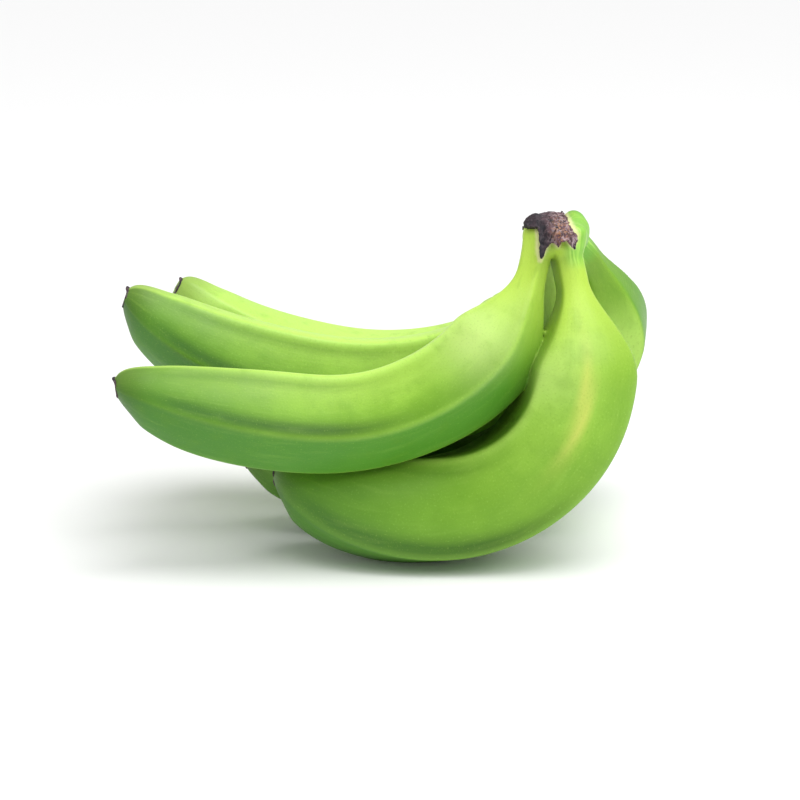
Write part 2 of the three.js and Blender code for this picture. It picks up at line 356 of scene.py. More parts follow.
def below_top(points, gap):
    """A distance cut off at the slanted top where the hand left the bunch, with the lump beside it."""
    top = CROWN_TOP - CROWN_SLOPE * np.maximum(points[:, 1], 0)
    cut = -blended(-gap, top - points[:, 2], TOP_ROUND)
    middle, half = CROWN_LUMP
    lump = np.linalg.norm((points - middle) / half, axis=1) - 1
    return blended(cut, lump * half.min(), LUMP_BLEND)


def stalks_gap(points):
    """Signed distance to the crown and all stalks, blended into each other."""
    gap, width = crown_gap(points), blend_width(points)
    for name in FINGERS:
        gap = blended(gap, near_finger(name, points, JOIN_STOP + JOIN_PAST)[0], width)
    return below_top(points, gap)


def join_gap(points):
    """The blended crown and stalks, sinking under each finger's own skin at the end of its stalk."""
    gap, width = crown_gap(points), blend_width(points)
    for name in FINGERS:
        own, distance, _ = near_finger(name, points, JOIN_STOP + JOIN_PAST)
        sunk = own + JOIN_SINK * smoothstep(distance, JOIN_START, JOIN_STOP) ** 2
        sunk = -blended(-sunk, JOIN_STOP - distance, JOIN_ROUND)
        gap = blended(gap, sunk, width)
    return below_top(points, gap)


def sampled(gap, grid, cell):
    """gap() on a grid: read finely near the surface only, and coarsely elsewhere."""
    shape = grid.shape[:3]
    coarse = grid[::COARSE, ::COARSE, ::COARSE]
    value = gap(coarse.reshape(-1, 3)).reshape(coarse.shape[:3])
    for axis in range(3):
        value = np.repeat(value, COARSE, axis)
    value = value[:shape[0], :shape[1], :shape[2]].copy()
    near = np.abs(value) < COARSE * cell * COARSE_REACH
    value[near] = gap(grid[near])
    return value


def fill_pinches(value, filling):
    """Fills grid points where the surface would meet itself along an edge or at a corner."""
    for _ in range(PINCH_ROUNDS):
        inside = value < 0
        fill = np.zeros(value.shape, bool)
        for a, b in ((0, 1), (0, 2), (1, 2)):
            parts = []
            for i in (0, 1):
                for j in (0, 1):
                    part = [slice(None)] * 3
                    part[a] = slice(i, value.shape[a] - 1 + i)
                    part[b] = slice(j, value.shape[b] - 1 + j)
                    parts.append(tuple(part))
            first, second, third, fourth = (inside[part] for part in parts)
            pinched = (first == fourth) & (second == third) & (first != second)
            for part in parts:
                fill[part] |= pinched
        corners = [
            tuple(slice(k, n - 1 + k) for k, n in zip(bits, value.shape))
            for bits in np.ndindex(2, 2, 2)
        ]
        full = sum(inside[corner].astype(int) for corner in corners)
        for first, second in zip(corners[:4], corners[:3:-1]):
            two_full = (full == 2) & inside[first] & inside[second]
            two_empty = (full == 6) & ~inside[first] & ~inside[second]
            for corner in corners:
                fill[corner] |= two_full | two_empty
        fill &= ~inside
        if not fill.any():
            break
        value[fill] = -filling
    return value


def surface_net(gap, low, high, cell):
    """The surface where gap() is zero inside a box, as vertices and quads facing out."""
    axes = [np.arange(low[k], high[k] + cell, cell) for k in range(3)]
    grid = np.stack(np.meshgrid(*axes, indexing="ij"), -1)
    shape = grid.shape[:3]
    value = fill_pinches(sampled(gap, grid, cell), cell / 20)
    inside = value < 0
    cells = tuple(n - 1 for n in shape)
    total = np.zeros(cells + (3,))
    count = np.zeros(cells, int)
    crossings = []
    for axis in range(3):
        a = [slice(None)] * 3
        b = [slice(None)] * 3
        a[axis], b[axis] = slice(0, -1), slice(1, None)
        a, b = tuple(a), tuple(b)
        crossed = inside[a] != inside[b]
        share = value[a] / np.where(crossed, value[a] - value[b], 1)
        point = grid[a] + (grid[b] - grid[a]) * share[..., None]
        crossings.append((crossed, inside[a]))
        others = [k for k in range(3) if k != axis]
        for i in (0, 1):
            for j in (0, 1):
                part = [slice(None)] * 3
                part[others[0]] = slice(i, i + cells[others[0]])
                part[others[1]] = slice(j, j + cells[others[1]])
                part = tuple(part)
                total += np.where(crossed[part][..., None], point[part], 0)
                count += crossed[part]
    used = count > 0
    number = np.full(cells, -1)
    number[used] = np.arange(used.sum())
    vertices = total[used] / count[used][:, None]
    quads = []
    for axis, (crossed, from_inside) in enumerate(crossings):
        others = [(axis + 1) % 3, (axis + 2) % 3]
        i, j, k = np.nonzero(crossed)
        place = np.stack([i, j, k], 1)
        keep = np.all((place[:, others] > 0) & (place[:, others] < np.array(shape)[others] - 1), 1)
        place, start_inside = place[keep], from_inside[i, j, k][keep]
        corners = []
        for du, dv in ((-1, -1), (0, -1), (0, 0), (-1, 0)):
            corner = place.copy()
            corner[:, others[0]] += du
            corner[:, others[1]] += dv
            corners.append(number[corner[:, 0], corner[:, 1], corner[:, 2]])
        quad = np.stack(corners, 1)
        quad[~start_inside] = quad[~start_inside][:, ::-1]
        quads.append(quad)
    return vertices, np.concatenate(quads)


def settle_on_surface(vertices, gap, rounds=2):
    """Moves vertices along the slope of gap() until they lie on its surface."""
    shifts = SLOPE_REACH * np.eye(3)
    for _ in range(rounds):
        value = gap(vertices)
        slope = np.stack([gap(vertices + shift) - gap(vertices - shift) for shift in shifts], 1)
        slope = slope / (2 * SLOPE_REACH)
        size = np.maximum((slope ** 2).sum(1), 0.25)
        step = -(value / size)[:, None] * slope
        vertices = vertices + np.clip(step, -LONGEST_STEP, LONGEST_STEP)
    return vertices


def finger_mesh(name):
    """One finger's skin as rings of quads, closed at its root and at its blossom end."""
    finger, line = FINGERS[name], LINES[name]
    length = finger["length"]
    share = np.linspace(0, 1, ALONG)
    distance = length * (1 - (1 - share) ** TIP_CROWDING)
    per_ridge = AROUND // len(RIDGE_ANGLES)
    spread = np.arange(per_ridge) * 2 / per_ridge - 1
    sector = np.sign(spread) * np.abs(spread) ** RIDGE_CROWDING * 180 / len(RIDGE_ANGLES)
    round_it = np.concatenate([ridge + sector for ridge in sorted(RIDGE_ANGLES)])[::-1]
    angle = from_equal_sides(finger, round_it[None], distance[:, None])
    reach = skin_reach(finger, angle, distance[:, None])
    reach = reach - ROOT_SINK * (1 - smoothstep(distance, JOIN_START, JOIN_END))[:, None]
    point, way, viewer, hollow = on_line(line, distance)
    turn = np.radians(angle)[..., None]
    out = np.cos(turn) * viewer[:, None] + np.sin(turn) * hollow[:, None]
    rings = point[:, None] + reach[..., None] * out
    near_end = 1 - smoothstep(length - distance, 0, END_REACH)
    skew = END_SKEW * reach * np.sin(turn[..., 0]) * near_end[:, None]
    rings = rings + skew[..., None] * way[:, None]
    tilted = reach[-1][:, None] * out[-1] + skew[-1][:, None] * way[-1]
    extra = [point[-1] + tilted * size + way[-1] * rise for size, rise in END_LIP]
    rings = np.concatenate([rings, np.stack(extra)])
    rings[..., 2] = np.maximum(rings[..., 2], REST_HEIGHT)
    count = len(rings)
    ends = np.stack([point[0], point[-1] + way[-1] * END_DISH])
    vertices = np.concatenate([rings.reshape(-1, 3), ends])
    faces = []
    step = np.arange(AROUND)
    after = (step + 1) % AROUND
    for ring in range(count - 1):
        base = ring * AROUND
        above = base + AROUND
        faces.append(np.stack([base + step, above + step, above + after, base + after], 1))
    quads = np.concatenate(faces)
    start, end = count * AROUND, count * AROUND + 1
    first = np.stack([step, after, np.full(AROUND, start)], 1)
    base = (count - 1) * AROUND
    last = np.stack([base + after, base + step, np.full(AROUND, end)], 1)
    return vertices, [*quads.tolist(), *first.tolist(), *last.tolist()]


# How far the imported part's frame lies from the drawing frame, by the middles of the fingers' boxes
RAW = np.concatenate([finger_mesh(name)[0] for name in FINGERS])
HAND_LOW, HAND_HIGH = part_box("banana_hand")
SHIFT = np.array([
    (HAND_LOW[k] + HAND_HIGH[k]) / 2 / MM - (RAW[:, k].min() + RAW[:, k].max()) / 2 for k in range(2)
] + [0.0])


def place(points):
    """Drawing millimetres as metres in the part's frame."""
    return (np.asarray(points, float) + SHIFT) * MM


def add_mesh(name, vertices, faces, material):
    """A smooth-shaded mesh object made from points in the part's frame."""
    mesh = bpy.data.meshes.new(name)
    mesh.from_pydata(vertices.tolist(), [], faces if isinstance(faces, list) else faces.tolist())
    mesh.update()
    mesh.shade_smooth()
    obj = bpy.data.objects.new(name, mesh)
    bpy.context.scene.collection.objects.link(obj)
    if material is not None:
        mesh.materials.append(material)
    return obj


def join_all(name, parts):
    """Fuses closed meshes into one by a Boolean union and removes the parts."""
    base = parts[0]
    base.name = base.data.name = name
    group = bpy.data.collections.new("union_parts")
    bpy.context.scene.collection.children.link(group)
    for part in parts[1:]:
        bpy.context.scene.collection.objects.unlink(part)
        group.objects.link(part)
    modifier = base.modifiers.new("union", "BOOLEAN")
    modifier.operation = "UNION"
    modifier.operand_type = "COLLECTION"
    modifier.collection = group
    modifier.solver = "MANIFOLD"
    bpy.context.view_layer.update()
    fused = bpy.data.meshes.new_from_object(base.evaluated_get(bpy.context.evaluated_depsgraph_get()))
    base.modifiers.clear()
    base.data = fused
    fused.name = name
    for part in parts[1:]:
        bpy.data.objects.remove(part)
    bpy.data.collections.remove(group)
    fused.shade_smooth()
    return base


def make_hand():
    """The six fingers and the crown as one grown body."""
    low = CROWN_MIDDLE - CROWN_HALF - JOIN_ROOM[0]
    high = CROWN_MIDDLE + CROWN_HALF + JOIN_ROOM[1]
    vertices, quads = surface_net(join_gap, low, high, JOIN_CELL)
    # Below this height the join is hidden in the fingers and stays as it is
    shown = vertices[:, 2] > JOIN_HIDDEN
    vertices[shown] = settle_on_surface(vertices[shown], join_gap)
    parts = [add_mesh("join", place(vertices), quads, None)]
    for name in FINGERS:
        points, faces = finger_mesh(name)
        parts.append(add_mesh(name, place(points), faces, None))
    return join_all("banana_skin", parts)


def mesh_points(obj):
    count = len(obj.data.vertices)
    points = np.empty(count * 3)
    obj.data.vertices.foreach_get("co", points)
    return points.reshape(-1, 3)


def add_attribute(obj, name, values, kind="FLOAT"):
    layer = obj.data.attributes.new(name, kind, "POINT")
    key = "vector" if kind == "FLOAT_VECTOR" else "value"
    layer.data.foreach_set(key, np.asarray(values, np.float32).ravel())


def face_share(around, middle):
    """1 on the side whose middle faces that way, 0 past its ridges."""
    return 1 - smoothstep(np.abs(angle_from(around, middle)), *FACE_EDGE)


def bell(value, middle, width):
    """1 at the middle, falling to nearly nothing at twice the width from it."""
    return np.exp(-((value - middle) / width) ** 2)


# The cap's jagged outline seen along Y, and the skin of dried tissue over the crown's top
CAP_OUTLINE = [
    (52.4, 136), (52.8, 129.6), (57.4, 128.8), (58, 124.6), (57.9, 120.4), (58.6, 117.2),
    (60.2, 120.6), (62.2, 124), (64, 123.2), (65, 122.1), (66, 124.4), (67.8, 124.8),
    (71, 121.4), (72.4, 125.2), (70.2, 128.4), (67.6, 131), (66, 137),
]
CAP_REAR = [
    (50.5, 136), (50.5, 125), (56, 121), (60, 118), (64, 119.5),
    (67, 117.5), (70, 119), (67, 136),
]
CAP_BACK = 14
CAP_OVERLAP = 2
CAP_BOX = ([48, -24, 115], [79, 36, 135])
CAP_CELL = 0.42

# The cut stub at the cap's left end, which droops, and the mound in its middle: middle and half size
CAP_LUMPS = [((56.9, -7, 129.7), (4, 5.5, 2.9)), ((62.6, -1, 128.8), (6.2, 9.5, 3))]
STUB_DROOP = 0.4
CAP_BLEND = 2.0

# The cap's thickness at its rim and how much thicker it is inside, and how far it stands off the
# crown, how much more its rim is lifted, and how deep its lumps reach into the crown
RIM_THICKNESS, INNER_THICKNESS, RIM_WIDTH = 0.5, 1.3, 4
CAP_CLEARANCE, CAP_LIFT, LIFT_WIDTH = 0.2, 0.9, 3
CAP_BITE = 0.3
CRINKLE_HEIGHT = 1.15

# Where the cap is tan, black and light: a middle and reach, or the two ends of a fade. The light part,
# lilac-grey on the wrinkles towards the upper right, is partly the dry skin's own colour and partly a
# painted highlight
TAN_MIDDLE = np.array([66.2, -10, 126.8])
TAN_REACH = np.array([3.2, 12, 4.4])
BLACK_EDGE = [60.5, 65.5]
BLACK_SLANT = 0.25
LIGHT_EDGE, LIGHT_HEIGHTS = [61, 68], [120, 125]

# A blossom scar: its profile as size against the tip's radius and rise, its nub and how black it is
SCAR_PROFILE = [
    (0.0, 0.5), (0.25, 0.45), (0.5, 0.4), (0.7, 0.45), (0.85, 0.6), (0.97, 0.55),
    (1.02, 0.2), (0.97, -0.5), (0.5, -1.0),
]
SCAR_SIDES = 40
SCAR_BOTTOM = 1.2
NUB_HEIGHT, NUB_PLACE, NUB_TALL, NUB_WIDE = 1.1, 0.72, 0.3, 0.42
SCAR_BLACK = 0.6

# The cream line of bare tissue along the cap's edge, on the crown's front above CREAM_BOTTOM
CREAM_WIDTH = 1.6
CREAM_BOTTOM = 112

# How far from a side's middle, in degrees, its own colour fades out
FACE_EDGE = [31, 40]

# How strongly the lower row's front sides get the painted light and shade across them, lighter towards
# the upper ridge and darker towards the lower one, against the upper row's, and the fingers whose necks
# are greener, with less yellow-green as painted shade
LOW_ROW_RISE = 0.35
SHADED_NECKS = ("lower_middle", "lower_back")

# How pale the crests of the other ridges are against the upper one's. The pale crest is partly the
# ridge's own paler colour and partly a painted highlight, strongest on the upper ridge
OTHER_CRESTS = 0.3

# The fibres' own coordinates: one radius for all fingers, and how far apart two fingers' noise lies
STRAND_RADIUS = 18
STRAND_APART = 71.0


def outline_gap(x, z, outline):
    """Signed distance in a plane to a closed outline of straight lines."""
    best = np.full(len(x), 1e9)
    inside = np.zeros(len(x), bool)
    for (x0, z0), (x1, z1) in zip(outline, outline[1:] + outline[:1]):
        run, rise = x1 - x0, z1 - z0
        share = np.clip(((x - x0) * run + (z - z0) * rise) / (run ** 2 + rise ** 2), 0, 1)
        best = np.minimum(best, np.hypot(x - x0 - run * share, z - z0 - rise * share))
        if rise != 0:
            crosses = ((z0 > z) != (z1 > z)) & (x < run * (z - z0) / rise + x0)
            inside ^= crosses
    return np.where(inside, -best, best)


def mark_skin(obj):
    """Stores on each vertex where it lies on its finger, for the peel's material: its own colours and
    its painted light and shade.
    """
    points = mesh_points(obj) / MM - SHIFT
    best = np.full(len(points), 1e9)
    nothing = np.zeros(len(points))
    values = {}
    strand = np.zeros((len(points), 3))
    for number, (name, finger) in enumerate(FINGERS.items()):
        gap, distance, angle = near_finger(name, points)
        own = gap < best
        best = np.where(own, gap, best)
        left = finger["length"] - distance
        radius = half_thickness(finger, distance)
        around = angle_from(with_equal_sides(finger, angle, distance), 0)
        upper = name.startswith("upper")
        front = face_share(around, FRONT_SIDE)
        hollow = face_share(around, HOLLOW_SIDE)
        neck = 1 - smoothstep(distance, 10, 56)
        # crest: a pale line along each ridge, partly the ridge's own paler colour and partly a painted
        # highlight
        crest = nothing
        for ridge in RIDGE_ANGLES:
            off = np.radians(angle_from(around, ridge)) * radius
            strength = 1 if ridge == UPPER_RIDGE else OTHER_CRESTS
            crest = np.maximum(crest, bell(off, 0, 1.3) * strength)
        # groove: painted shade in the slight grooves beside the lower ridge and, fainter, the upper one
        low_off = np.radians(angle_from(around, LOWER_RIDGE)) * radius
        high_off = np.radians(angle_from(UPPER_RIDGE, around)) * radius
        groove = bell(low_off, 2.6, 2.4) + 0.35 * bell(high_off, 3, 1.6)
        fade = smoothstep(distance, 30, 60) * smoothstep(left, 3, 28)
        # How squarely the skin faces the light, for the painted highlight on each shoulder
        lit = np.clip(np.cos(np.radians(angle - 35)), 0, 1) ** 3
        new = dict(
            # main and rise carry painted light and shade across each front side: lighter towards the
            # upper ridge, darker towards the lower one, weaker on the lower row
            main=front * (1 if upper else LOW_ROW_RISE),
            rise=np.clip((around - LOWER_RIDGE) / (UPPER_RIDGE - LOWER_RIDGE), 0, 1),
            # painted light: the upper row's hollow sides, facing up, pale as if lit from above
            top=hollow if upper else nothing,
            shade=nothing if upper else hollow * (0.45 + 0.55 * smoothstep(distance, 40, 70)),
            # painted shade: the lower and under sides darker and bluer, as they face away from the
            # light
            underside_shade=np.maximum(face_share(around, LOWER_SIDE), 0.7 * face_share(around, UNDER_SIDE)),
            groove=groove * fade * smoothstep(distance, 70, 115),
            crest=crest * fade,
            # the neck's own yellow-green, weaker on the lower row's middle and back necks as painted
            # shade
            neck=neck * (0.2 if name in SHADED_NECKS else 1),
            tip=1 - smoothstep(left, 0, 16),
            ends=(1 - smoothstep(left, 4, 95)) * (1 - 0.75 * hollow),
            # painted shade: the lower row darker from mid-length on, where it lies under the upper row
            deep=nothing if upper else smoothstep(distance, 50, 115),
            # painted highlight round the shoulder on the side facing the light, half as strong on the
            # lower row
            shoulder_highlight=bell(distance, 46, 13) * lit * (1 if upper else 0.5),
            blush=nothing,
            pale=nothing,
        )
        # The upper row's back finger is painted pale all round past its neck, as painted light, and its
        # tip darkens less
        if name == "upper_back":
            new["top"] = 1 - neck
            new["ends"] = (1 - smoothstep(left, 4, 95)) * 0.25
        if name == "lower_front":
            new["blush"] = bell(distance, 56, 17) * bell(angle_from(angle, -4), 0, 7)
        # The lower row's back finger: no painted shade on its hollow side, its neck painted darker as
        # painted shade, and its front side past the neck painted pale as painted light
        if name == "lower_back":
            new["shade"] = nothing
            new["deep"] = neck
            new["pale"] = smoothstep(distance, 22, 40) * front
        for key, value in new.items():
            values[key] = np.where(own, value, values.get(key, nothing))
        arc = np.radians(angle) * STRAND_RADIUS
        place_on = np.stack([distance, arc, np.full(len(points), number * STRAND_APART)], 1)
        strand = np.where(own[:, None], place_on, strand)
    edge = np.abs(outline_gap(points[:, 0], points[:, 2], CAP_OUTLINE))
    in_front = (points[:, 1] < CAP_BACK) & (points[:, 2] > CREAM_BOTTOM)
    values["cream"] = (1 - smoothstep(edge, 0.5, CREAM_WIDTH)) * in_front
    values["crown"] = (1 - smoothstep(crown_gap(points), 0.5, 6)) * smoothstep(points[:, 0], 66, 71)
    for key, value in values.items():
        add_attribute(obj, "peel_" + key, value)
    add_attribute(obj, "peel_strand", strand * MM, "FLOAT_VECTOR")


class Nodes:
    """Short calls for building a material's nodes."""

    def __init__(self, name):
        self.material = bpy.data.materials.new(name)
        self.material.use_nodes = True
        self.tree = self.material.node_tree
        self.tree.nodes.clear()
        self.output = self.tree.nodes.new("ShaderNodeOutputMaterial")
        self.shader = self.tree.nodes.new("ShaderNodeBsdfPrincipled")
        self.tree.links.new(self.shader.outputs[0], self.output.inputs["Surface"])

    def put(self, socket, value):
        if isinstance(value, bpy.types.NodeSocket):
            self.tree.links.new(value, socket)
        elif isinstance(value, (tuple, list)) and len(value) == 3 and socket.type == "RGBA":
            socket.default_value = (*value, 1)
        else:
            socket.default_value = value

    def attribute(self, name, output="Fac"):
        node = self.tree.nodes.new("ShaderNodeAttribute")
        node.attribute_name = name
        return node.outputs[output]

    def product(self, a, b):
        node = self.tree.nodes.new("ShaderNodeMath")
        node.operation = "MULTIPLY"
        self.put(node.inputs[0], a)
        self.put(node.inputs[1], b)
        return node.outputs[0]

    def mix(self, share, a, b):
        node = self.tree.nodes.new("ShaderNodeMix")
        node.data_type = "RGBA"
        self.put(node.inputs["Factor"], share)
        self.put(node.inputs[6], a)
        self.put(node.inputs[7], b)
        return node.outputs[2]

    def scaled(self, vector, scale):
        node = self.tree.nodes.new("ShaderNodeVectorMath")
        node.operation = "MULTIPLY"
        self.put(node.inputs[0], vector)
        self.put(node.inputs[1], scale)
        return node.outputs[0]

    def noise(self, vector, scale, detail=3, roughness=0.5, distortion=0):
        node = self.tree.nodes.new("ShaderNodeTexNoise")
        self.put(node.inputs["Vector"], vector)
        self.put(node.inputs["Scale"], scale)
        self.put(node.inputs["Detail"], detail)
        self.put(node.inputs["Roughness"], roughness)
        self.put(node.inputs["Distortion"], distortion)
        return node.outputs[0]

    def ramp(self, value, low, high, to_low=0, to_high=1, smooth=True):
        node = self.tree.nodes.new("ShaderNodeMapRange")
        node.interpolation_type = "SMOOTHSTEP" if smooth else "LINEAR"
        for socket, number in zip(node.inputs, (value, low, high, to_low, to_high)):
            self.put(socket, number)
        return node.outputs[0]

    def object_place(self):
        node = self.tree.nodes.new("ShaderNodeTexCoord")
        return node.outputs["Object"]

    def bump(self, height, strength, distance, normal=None):
        node = self.tree.nodes.new("ShaderNodeBump")
        self.put(node.inputs["Height"], height)
        self.put(node.inputs["Strength"], strength)
        self.put(node.inputs["Distance"], distance)
        if normal is not None:
            self.put(node.inputs["Normal"], normal)
        return node.outputs[0]


def srgb(red, green, blue):
    """A colour seen on screen, 0 to 255, as linear light."""
    def linear(value):
        value /= 255
        return value / 12.92 if value <= 0.04045 else ((value + 0.055) / 1.055) ** 2.4
    return tuple(linear(v) for v in (red, green, blue))


GREEN = srgb(142, 190, 56)
DEEP_GREEN = srgb(96, 146, 22)
# The green of the painted light on the front sides' upper part
LIGHT_GREEN = srgb(174, 212, 88)
PALE_LIME = srgb(200, 240, 112)
YELLOW_GREEN = srgb(190, 220, 82)
# The darker, bluer green of the painted shade on the lower and under sides
UNDERSIDE_SHADE_GREEN = srgb(66, 136, 34)
SHADE_GREEN = srgb(46, 80, 2)
# The dark green of the painted shade in the grooves beside the ridges
GROOVE_SHADE_GREEN = srgb(48, 90, 0)
# The pale colour of the painted highlight on the shoulders
HIGHLIGHT_GREEN = srgb(222, 246, 158)
BLUSH = srgb(218, 214, 106)
TIP_GREEN = srgb(66, 120, 40)
OLIVE = srgb(52, 58, 30)
CREAM = srgb(232, 232, 168)
CROWN_GREEN = srgb(124, 194, 76)

# The marks painted on the peel, one over the other: the mark, its strength and its colour. Several are
# painted light and shade, as noted above each
PEEL_MARKS = [
    # painted shade on the lower and under sides
    ("underside_shade", 0.85, UNDERSIDE_SHADE_GREEN),
    # painted light on the upper row's upward sides
    ("top", 0.85, PALE_LIME),
    # painted light on the front side of the lower row's back finger
    ("pale", 0.85, PALE_LIME),
    # painted shade on the lower row and on the back finger's neck
    ("deep", 0.5, DEEP_GREEN),
    # painted shade in the grooves beside the ridges
    ("groove", 0.9, GROOVE_SHADE_GREEN),
    # pale ridge lines, partly a painted highlight
    ("crest", 0.4, PALE_LIME),
    ("neck", 0.72, YELLOW_GREEN),
    # painted highlight on the shoulders
    ("shoulder_highlight", 0.45, HIGHLIGHT_GREEN),
    ("blush", 0.7, BLUSH),
    ("shade", 0.86, SHADE_GREEN),
    ("ends", 0.6, TIP_GREEN),
    ("tip", 0.35, OLIVE),
    ("crown", 0.75, CROWN_GREEN),
]


def peel_material():
    n = Nodes("green_peel")
    strand = n.attribute("peel_strand", "Vector")
    along_fibres = n.scaled(strand, (0.14, 1.0, 1.0))
    clouds = n.noise(strand, 42, 3, 0.55)
    patches = n.noise(strand, 120, 2, 0.5)
    fibres = n.noise(along_fibres, 1100, 3, 0.6)
    streaks = n.noise(along_fibres, 300, 3, 0.55)
    specks = n.noise(strand, 1300, 3, 0.65)

    def painted(colour, mark, strength, new):
        return n.mix(n.product(mark, strength), colour, new)

    rise, main = n.attribute("peel_rise"), n.attribute("peel_main")
    colour = n.mix(n.ramp(clouds, 0.36, 0.66), n.mix(0.4, GREEN, DEEP_GREEN), GREEN)
    # Painted light and shade across the front sides: lighter towards the upper ridge, darker towards
    # the lower one
    colour = painted(colour, n.product(n.ramp(rise, 0.3, 0.85), main), 0.42, LIGHT_GREEN)
    colour = painted(colour, n.product(n.ramp(rise, 0.5, 0.05), main), 0.85, DEEP_GREEN)
    for name, strength, new in PEEL_MARKS:
        colour = painted(colour, n.attribute("peel_" + name), strength, new)
    colour = painted(colour, n.ramp(streaks, 0.5, 0.8), 0.08, PALE_LIME)
    colour = painted(colour, n.ramp(patches, 0.52, 0.75), 0.2, DEEP_GREEN)
    colour = painted(colour, n.ramp(specks, 0.56, 0.74), 0.16, PALE_LIME)
    colour = painted(colour, n.ramp(specks, 0.46, 0.28), 0.26, DEEP_GREEN)
    rough_crown = n.product(n.ramp(streaks, 0.5, 0.62), n.attribute("peel_crown"))
    colour = painted(colour, rough_crown, 0.5, PALE_LIME)
    colour = painted(colour, n.attribute("peel_cream"), 0.85, CREAM)
    n.put(n.shader.inputs["Base Color"], colour)
    n.put(n.shader.inputs["Roughness"], n.ramp(clouds, 0.3, 0.7, 0.4, 0.52))
    n.put(n.shader.inputs["Specular IOR Level"], 0.34)
    n.put(n.shader.inputs["Subsurface Weight"], 0.1)
    n.put(n.shader.inputs["Subsurface Radius"], (0.003, 0.005, 0.001))
    n.put(n.shader.inputs["Subsurface Scale"], 1.0)
    fine = n.bump(fibres, 0.12, 0.0004)
    pores = n.bump(specks, 0.1, 0.0003, fine)
    n.put(n.shader.inputs["Normal"], n.bump(patches, 0.2, 0.0008, pores))
    return n.material


BLACK_PURPLE = srgb(28, 25, 34)
BARK_BROWN = srgb(94, 64, 72)
LILAC_GREY = srgb(178, 156, 162)
TAN_ORANGE = srgb(206, 146, 92)


def dry_material():
    n = Nodes("dry_crown")
    where = n.object_place()
    upright = n.scaled(where, (1.0, 1.0, 0.35))
    blotches = n.noise(upright, 330, 4, 0.6, 0.4)
    wrinkles = n.noise(upright, 900, 4, 0.6, 0.5)
    flecks = n.noise(where, 1100, 4, 0.7)
    bark = n.mix(n.ramp(blotches, 0.38, 0.62), BLACK_PURPLE, BARK_BROWN)
    # Lilac-grey on the wrinkles, stronger towards the upper right: partly the dry skin's own colour,
    # partly a painted highlight
    light = n.ramp(n.attribute("dry_light"), 0, 1, 0.35, 0.85, False)
    bark = n.mix(n.product(n.ramp(wrinkles, 0.48, 0.62), light), bark, LILAC_GREY)
    tan = n.product(n.ramp(flecks, 0.47, 0.6), n.attribute("dry_tan"))
    colour = n.mix(n.product(tan, 0.85), bark, TAN_ORANGE)
    colour = n.mix(n.product(n.attribute("dry_black"), 0.75), colour, BLACK_PURPLE)
    n.put(n.shader.inputs["Base Color"], colour)
    n.put(n.shader.inputs["Roughness"], 0.72)
    n.put(n.shader.inputs["Normal"], n.bump(wrinkles, 0.7, 0.0007, n.bump(flecks, 0.5, 0.0004)))
    return n.material


def floor_material():
    n = Nodes("pale_floor")
    n.put(n.shader.inputs["Base Color"], srgb(246, 246, 246))
    n.put(n.shader.inputs["Roughness"], 0.9)
    return n.material


PEEL = peel_material()
DRY = dry_material()


def cap_gap(points):
    """Signed distance, nearly, to the dried cap."""
    skin = stalks_gap(points)
    front = outline_gap(points[:, 0], points[:, 2], CAP_OUTLINE)
    rear = outline_gap(points[:, 0], points[:, 2], CAP_REAR)
    front = np.maximum(front, points[:, 1] - CAP_BACK)
    rear = np.maximum(rear, CAP_BACK - CAP_OVERLAP - points[:, 1])
    edge = np.minimum(front, rear)
    thick = RIM_THICKNESS + INNER_THICKNESS * smoothstep(-edge, 0, RIM_WIDTH)
    lift = CAP_CLEARANCE + CAP_LIFT * (1 - smoothstep(-edge, 0, LIFT_WIDTH)) ** 2
    shell = np.maximum(skin - lift - thick, lift - skin)
    gap = np.maximum(shell, edge)
    for middle, half in CAP_LUMPS:
        level = points + np.array([0, 0, STUB_DROOP]) * np.maximum(middle[0] - points[:, :1], 0)
        lump = np.linalg.norm((level - middle) / half, axis=1)
        gap = blended(gap, (lump - 1) * min(half), CAP_BLEND)
    return np.maximum(gap, -CAP_BITE - skin)


def crinkle(where):
    """The height of the dried skin's crumples and of its upright folds at a point, as a share."""
    crumples = noise.fractal(where * 0.45, 0.6, 2.2, 4)
    tall = Vector((where.x * 0.5, where.y * 0.5, where.z * 0.16))
    folds = noise.ridged_multi_fractal(tall, 0.9, 2.1, 3, 1, 2)
    return crumples * 0.45 + folds * 0.22 - 0.3


def make_cap():
    """The crinkled cap, with where it is tan, black and light stored on each vertex."""
    vertices, quads = surface_net(cap_gap, *CAP_BOX, CAP_CELL)
    obj = add_mesh("dry_crown_skin", place(vertices), quads, DRY)
    for vertex in obj.data.vertices:
        vertex.co += vertex.normal * crinkle(vertex.co / MM) * CRINKLE_HEIGHT * MM
    obj.data.update()
    points = mesh_points(obj) / MM - SHIFT
    tan = np.exp(-((points - TAN_MIDDLE) ** 2 / TAN_REACH ** 2).sum(1))
    slanted = points[:, 0] + BLACK_SLANT * (points[:, 2] - LIGHT_HEIGHTS[0])
    black = 1 - smoothstep(slanted, *BLACK_EDGE)
    # Where the wrinkles turn lilac-grey, towards the upper right: partly the dry skin's own colour,
    # partly a painted highlight
    light = smoothstep(points[:, 0], *LIGHT_EDGE) * smoothstep(points[:, 2], *LIGHT_HEIGHTS)
    add_attribute(obj, "dry_light", light)
    add_attribute(obj, "dry_tan", tan)
    add_attribute(obj, "dry_black", black)
    return obj


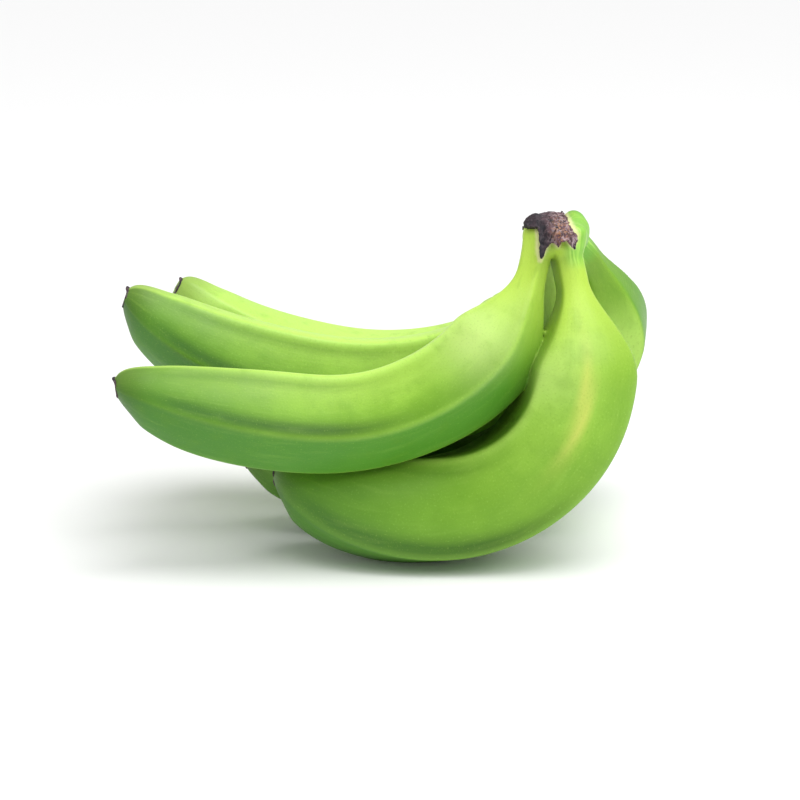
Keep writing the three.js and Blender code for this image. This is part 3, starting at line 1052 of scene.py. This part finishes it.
def make_scar(name):
    """The dark dried blossom scar at a finger's tip, with the nub of the flower's remains."""
    finger, line = FINGERS[name], LINES[name]
    end = np.array([finger["length"]])
    point, way, viewer, hollow = (value[0] for value in on_line(line, end))
    radius = float(half_thickness(finger, end)[0])
    rings, sides = len(SCAR_PROFILE), SCAR_SIDES
    seed = finger["length"] * 1.7
    vertices, faces = [point + way * SCAR_PROFILE[0][1]], []
    for ring in range(1, rings):
        size, rise = SCAR_PROFILE[ring]
        for side in range(sides):
            turn = TURN * side / sides
            across, up = math.cos(turn), math.sin(turn)
            ragged = noise.noise(Vector((across * 2.2, up * 2.2, seed + ring * 0.35)))
            nub = bell(size * up, NUB_PLACE, NUB_TALL) * bell(size * across, 0, NUB_WIDE)
            out = viewer * across + hollow * up
            reach = radius * size * (1 + 0.1 * ragged)
            height = rise + 0.25 * ragged + END_SKEW * reach * up
            if rise > 0.4:
                height += NUB_HEIGHT * nub
            vertices.append(point + out * reach + way * height)
    for side in range(sides):
        after = (side + 1) % sides
        faces.append([0, 1 + side, 1 + after])
        for ring in range(rings - 2):
            base = 1 + ring * sides
            faces.append([base + side, base + sides + side, base + sides + after, base + after])
    last = 1 + (rings - 2) * sides
    vertices.append(point - way * SCAR_BOTTOM)
    for side in range(sides):
        faces.append([last + (side + 1) % sides, last + side, len(vertices) - 1])
    obj = add_mesh("blossom_scar_" + name, place(vertices), faces, DRY)
    add_attribute(obj, "dry_black", np.full(len(vertices), SCAR_BLACK))
    return obj


hand = make_hand()
hand.data.materials.clear()
hand.data.materials.append(PEEL)
mark_skin(hand)
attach(hand, "root")
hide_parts("banana_hand")

cap = make_cap()
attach(cap, "root")
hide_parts("dry_crown_cap")

for finger_name in FINGERS:
    scar = make_scar(finger_name)
    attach(scar, "root")


# The studio: an even white world, a wide soft sun from the upper right and a softbox overhead
WORLD_LIGHT = 0.58
SUN_FROM = (0.45, -0.4, 1.0)
SUN_STRENGTH = 1.7
SUN_ANGLE = 60
TOP_PLACE = (0.25, -0.25, 1.1)
TOP_SIZE = (0.7, 0.7)
TOP_POWER = 5
STUDIO_MIDDLE = (0, 0, 0.06)
FLOOR_SIZE = 8
FLOOR_DROP = 0.0002


def add_lamp(data, where, aim):
    """A lamp at a place, turned to its aim."""
    light = bpy.data.objects.new(data.name, data)
    light.location = where
    light.rotation_euler = (Vector(aim) - Vector(where)).to_track_quat("-Z", "Y").to_euler()
    bpy.context.scene.collection.objects.link(light)


def make_studio():
    """The floor, the white world, the sun and the softbox."""
    bpy.ops.mesh.primitive_plane_add(size=FLOOR_SIZE, location=(0, 0, -FLOOR_DROP))
    floor = bpy.context.object
    floor.name = "studio_floor"
    floor.data.materials.append(floor_material())
    world = bpy.data.worlds.new("studio")
    bpy.context.scene.world = world
    world.use_nodes = True
    background = world.node_tree.nodes["Background"]
    background.inputs[0].default_value = (1, 1, 1, 1)
    background.inputs[1].default_value = WORLD_LIGHT
    sun = bpy.data.lights.new("soft_sun", "SUN")
    sun.energy = SUN_STRENGTH
    sun.angle = math.radians(SUN_ANGLE)
    add_lamp(sun, SUN_FROM, (0, 0, 0))
    top = bpy.data.lights.new("soft_top", "AREA")
    top.energy = TOP_POWER
    top.shape = "RECTANGLE"
    top.size, top.size_y = TOP_SIZE
    add_lamp(top, TOP_PLACE, STUDIO_MIDDLE)
    bpy.context.scene.view_settings.view_transform = "Standard"


def make_camera():
    """The photo's view, from the front and a little above."""
    data = bpy.data.cameras.new("camera")
    data.sensor_width = SENSOR
    data.lens = SENSOR * CAMERA_DISTANCE / (PIXEL_SIZE * IMAGE_SIZE)
    camera = bpy.data.objects.new("camera", data)
    aim = Vector(place(CAMERA_AIM))
    rise = math.radians(CAMERA_ELEVATION)
    back = Vector((0, -math.cos(rise), math.sin(rise)))
    camera.location = aim + back * CAMERA_DISTANCE * MM
    camera.rotation_euler = (-back).to_track_quat("-Z", "Y").to_euler()
    bpy.context.scene.collection.objects.link(camera)
    bpy.context.scene.camera = camera


make_studio()
make_camera()
